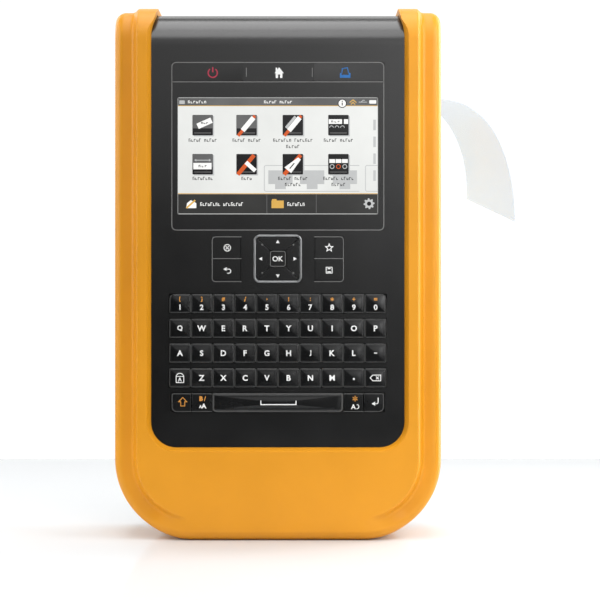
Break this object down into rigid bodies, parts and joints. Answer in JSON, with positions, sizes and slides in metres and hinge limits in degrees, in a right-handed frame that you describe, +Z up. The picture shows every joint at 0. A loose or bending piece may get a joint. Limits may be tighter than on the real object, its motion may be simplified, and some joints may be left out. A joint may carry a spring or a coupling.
{
  "type": "label maker",
  "caption": "Handheld label maker: touch screen, full keyboard and arrow pad in a dark casing with a thick rubber bumper, printed label curling out of the right side.",
  "frame": {"origin": "centre of the flat lower end that the label maker stands on, at the parting plane of the two casings", "axes": "+Z up along the body, front face with screen and keys towards -Y, +X to the right side, where the label comes out"},
  "size_m": [0.1932, 0.0712, 0.2535],
  "materials": {
    "bumper_rubber": "satin moulded elastomer",
    "casing_plastic": "semi-gloss black, very fine texture",
    "rear_plastic": "fine matt texture",
    "bezel_gloss": "high gloss black with printed lines and icons",
    "key_gloss": "gloss black, printed white and orange legends",
    "trim_silver": "satin silver",
    "screen_glass": "clear glass over the lit display",
    "display_metal": "satin",
    "board_green": "solder resist",
    "mat_rubber": "silicone",
    "battery_wrap": "matt",
    "contact_brass": "bright",
    "cassette_plastic": "fine matt",
    "label_tape": "satin laminated film",
    "ribbon_film": "glossy film",
    "steel_plate": "zinc-plated sheet",
    "steel_bright": "turned and polished",
    "head_ceramic": "satin",
    "platen_rubber": "fine ground rubber",
    "bush_bronze": "sintered",
    "gear_white": "acetal",
    "motor_can": "zinc-plated can",
    "foot_rubber": "matt",
    "socket_metal": "nickel",
    "socket_black": "matt"
  },
  "bodies": {
    "housing": {"bumper": "bumper_rubber", "front_shell": "casing_plastic", "screen_bezel": "bezel_gloss", "nav_ring": "trim_silver", "rear_shell": "rear_plastic", "door_pins": "steel_bright", "label_strip": "label_tape", "usb_port": "socket_metal", "dc_jack": "socket_black", "case_screws": "steel_plate", "rear_feet": "foot_rubber", "touch_screen": "screen_glass", "display_module": "display_metal", "main_board": "board_green", "keypad_mat": "mat_rubber", "battery_pack": "battery_wrap", "battery_contacts": "contact_brass", "cassette_case": "cassette_plastic", "cassette_lid": "cassette_plastic", "print_chassis": "steel_plate", "print_head": "head_ceramic", "platen_bushes": "bush_bronze", "feed_motor": "motor_can", "idler_axle": "steel_bright", "cutter_anvil": "steel_bright"},
    "cassette_door": {"cassette_door": "rear_plastic", "latch_spring": "steel_bright"},
    "battery_door": {"battery_door": "rear_plastic"},
    "door_latch": {"door_latch": "rear_plastic"},
    "platen": {"platen_shaft": "steel_bright", "platen_roller": "platen_rubber", "platen_gear": "gear_white"},
    "motor_pinion": {"motor_pinion": "contact_brass"},
    "idler_gear": {"idler_gear": "gear_white"},
    "takeup_drive": {"takeup_drive": "gear_white"},
    "takeup_spool": {"ribbon_takeup_spool": "ribbon_film"},
    "supply_spool": {"ribbon_supply_spool": "ribbon_film"},
    "tape_roll": {"tape_roll": "label_tape"},
    "cutter_blade": {"cutter_blade": "steel_bright"},
    "power_key": {"power_key": "bezel_gloss"},
    "home_key": {"home_key": "bezel_gloss"},
    "print_key": {"print_key": "bezel_gloss"},
    "cancel_key": {"cancel_key": "key_gloss"},
    "back_key": {"back_key": "key_gloss"},
    "favourite_key": {"favourite_key": "key_gloss"},
    "save_key": {"save_key": "key_gloss"},
    "up_key": {"up_key": "key_gloss"},
    "down_key": {"down_key": "key_gloss"},
    "left_key": {"left_key": "key_gloss"},
    "right_key": {"right_key": "key_gloss"},
    "ok_key": {"ok_key": "key_gloss"},
    "number_keys": {"number_keys": "key_gloss"},
    "upper_letter_keys": {"upper_letter_keys": "key_gloss"},
    "middle_letter_keys": {"middle_letter_keys": "key_gloss"},
    "lower_letter_keys": {"lower_letter_keys": "key_gloss"},
    "shift_key": {"shift_key": "key_gloss"},
    "font_key": {"font_key": "key_gloss"},
    "space_key": {"space_key": "key_gloss"},
    "symbol_key": {"symbol_key": "key_gloss"},
    "enter_key": {"enter_key": "key_gloss"}
  },
  "joints": [
    {"name": "cassette_door_hinge", "type": "hinge", "parent": "housing", "child": "cassette_door", "pos_m": [0, 0.0385, 0.1568], "axis": [-1, 0, 0], "range_deg": [0, 90]},
    {"name": "battery_door_hinge", "type": "hinge", "parent": "housing", "child": "battery_door", "pos_m": [0, 0.0385, 0.0408], "axis": [-1, 0, 0], "range_deg": [0, 90]},
    {"name": "door_latch_slide", "type": "slide", "parent": "cassette_door", "child": "door_latch", "axis": [0, 0, -1], "range_m": [0, 0.0025], "stiffness_N_per_m": 400, "springref_m": -0.001, "deforming": ["latch_spring"]},
    {"name": "platen_spin", "type": "hinge", "parent": "housing", "child": "platen", "pos_m": [0.052, 0, 0.2035], "axis": [0, -1, 0], "continuous": true},
    {"name": "motor_spin", "type": "hinge", "parent": "housing", "child": "motor_pinion", "pos_m": [0.05412, 0, 0.17918], "axis": [0, -1, 0], "continuous": true},
    {"name": "idler_spin", "type": "hinge", "parent": "housing", "child": "idler_gear", "pos_m": [0.042, 0, 0.18618], "axis": [0, -1, 0], "continuous": true},
    {"name": "takeup_drive_spin", "type": "hinge", "parent": "housing", "child": "takeup_drive", "pos_m": [0.024, 0, 0.18618], "axis": [0, -1, 0], "continuous": true},
    {"name": "takeup_spool_spin", "type": "hinge", "parent": "housing", "child": "takeup_spool", "pos_m": [0.024, 0, 0.18618], "axis": [0, -1, 0], "continuous": true},
    {"name": "supply_spool_spin", "type": "hinge", "parent": "housing", "child": "supply_spool", "pos_m": [0.02, 0, 0.22018], "axis": [0, -1, 0], "continuous": true},
    {"name": "tape_roll_spin", "type": "hinge", "parent": "housing", "child": "tape_roll", "pos_m": [-0.021, 0, 0.202], "axis": [0, -1, 0], "continuous": true},
    {"name": "cutter_slide", "type": "slide", "parent": "housing", "child": "cutter_blade", "axis": [0, 0, -1], "range_m": [0, 0.003], "stiffness_N_per_m": 60, "springref_m": -0.002},
    {"name": "power_key_press", "type": "slide", "parent": "housing", "child": "power_key", "axis": [0, 1, 0], "range_m": [0, 0.0004], "stiffness_N_per_m": 600, "springref_m": -0.0004},
    {"name": "home_key_press", "type": "slide", "parent": "housing", "child": "home_key", "axis": [0, 1, 0], "range_m": [0, 0.0004], "stiffness_N_per_m": 600, "springref_m": -0.0004},
    {"name": "print_key_press", "type": "slide", "parent": "housing", "child": "print_key", "axis": [0, 1, 0], "range_m": [0, 0.0004], "stiffness_N_per_m": 600, "springref_m": -0.0004},
    {"name": "cancel_key_press", "type": "slide", "parent": "housing", "child": "cancel_key", "axis": [0, 1, 0], "range_m": [0, 0.001], "stiffness_N_per_m": 600, "springref_m": -0.0004},
    {"name": "back_key_press", "type": "slide", "parent": "housing", "child": "back_key", "axis": [0, 1, 0], "range_m": [0, 0.001], "stiffness_N_per_m": 600, "springref_m": -0.0004},
    {"name": "favourite_key_press", "type": "slide", "parent": "housing", "child": "favourite_key", "axis": [0, 1, 0], "range_m": [0, 0.001], "stiffness_N_per_m": 600, "springref_m": -0.0004},
    {"name": "save_key_press", "type": "slide", "parent": "housing", "child": "save_key", "axis": [0, 1, 0], "range_m": [0, 0.001], "stiffness_N_per_m": 600, "springref_m": -0.0004},
    {"name": "up_key_press", "type": "slide", "parent": "housing", "child": "up_key", "axis": [0, 1, 0], "range_m": [0, 0.001], "stiffness_N_per_m": 600, "springref_m": -0.0004},
    {"name": "down_key_press", "type": "slide", "parent": "housing", "child": "down_key", "axis": [0, 1, 0], "range_m": [0, 0.001], "stiffness_N_per_m": 600, "springref_m": -0.0004},
    {"name": "left_key_press", "type": "slide", "parent": "housing", "child": "left_key", "axis": [0, 1, 0], "range_m": [0, 0.001], "stiffness_N_per_m": 600, "springref_m": -0.0004},
    {"name": "right_key_press", "type": "slide", "parent": "housing", "child": "right_key", "axis": [0, 1, 0], "range_m": [0, 0.001], "stiffness_N_per_m": 600, "springref_m": -0.0004},
    {"name": "ok_key_press", "type": "slide", "parent": "housing", "child": "ok_key", "axis": [0, 1, 0], "range_m": [0, 0.001], "stiffness_N_per_m": 600, "springref_m": -0.0004},
    {"name": "number_key_press", "type": "slide", "parent": "housing", "child": "number_keys", "axis": [0, 1, 0], "range_m": [0, 0.001], "stiffness_N_per_m": 600, "springref_m": -0.0004},
    {"name": "upper_letter_key_press", "type": "slide", "parent": "housing", "child": "upper_letter_keys", "axis": [0, 1, 0], "range_m": [0, 0.001], "stiffness_N_per_m": 600, "springref_m": -0.0004},
    {"name": "middle_letter_key_press", "type": "slide", "parent": "housing", "child": "middle_letter_keys", "axis": [0, 1, 0], "range_m": [0, 0.001], "stiffness_N_per_m": 600, "springref_m": -0.0004},
    {"name": "lower_letter_key_press", "type": "slide", "parent": "housing", "child": "lower_letter_keys", "axis": [0, 1, 0], "range_m": [0, 0.001], "stiffness_N_per_m": 600, "springref_m": -0.0004},
    {"name": "shift_key_press", "type": "slide", "parent": "housing", "child": "shift_key", "axis": [0, 1, 0], "range_m": [0, 0.001], "stiffness_N_per_m": 600, "springref_m": -0.0004},
    {"name": "font_key_press", "type": "slide", "parent": "housing", "child": "font_key", "axis": [0, 1, 0], "range_m": [0, 0.001], "stiffness_N_per_m": 600, "springref_m": -0.0004},
    {"name": "space_key_press", "type": "slide", "parent": "housing", "child": "space_key", "axis": [0, 1, 0], "range_m": [0, 0.001], "stiffness_N_per_m": 600, "springref_m": -0.0004},
    {"name": "symbol_key_press", "type": "slide", "parent": "housing", "child": "symbol_key", "axis": [0, 1, 0], "range_m": [0, 0.001], "stiffness_N_per_m": 600, "springref_m": -0.0004},
    {"name": "enter_key_press", "type": "slide", "parent": "housing", "child": "enter_key", "axis": [0, 1, 0], "range_m": [0, 0.001], "stiffness_N_per_m": 600, "springref_m": -0.0004}
  ],
  "couplings": [
    {"joint": "motor_spin", "follows": "platen_spin", "ratio": 2},
    {"joint": "idler_spin", "follows": "platen_spin", "ratio": -1.5},
    {"joint": "takeup_drive_spin", "follows": "platen_spin", "ratio": 1.2},
    {"joint": "takeup_spool_spin", "follows": "platen_spin", "ratio": 1.2},
    {"joint": "supply_spool_spin", "follows": "platen_spin", "ratio": 0.75},
    {"joint": "tape_roll_spin", "follows": "platen_spin", "ratio": 0.35294}
  ]
}
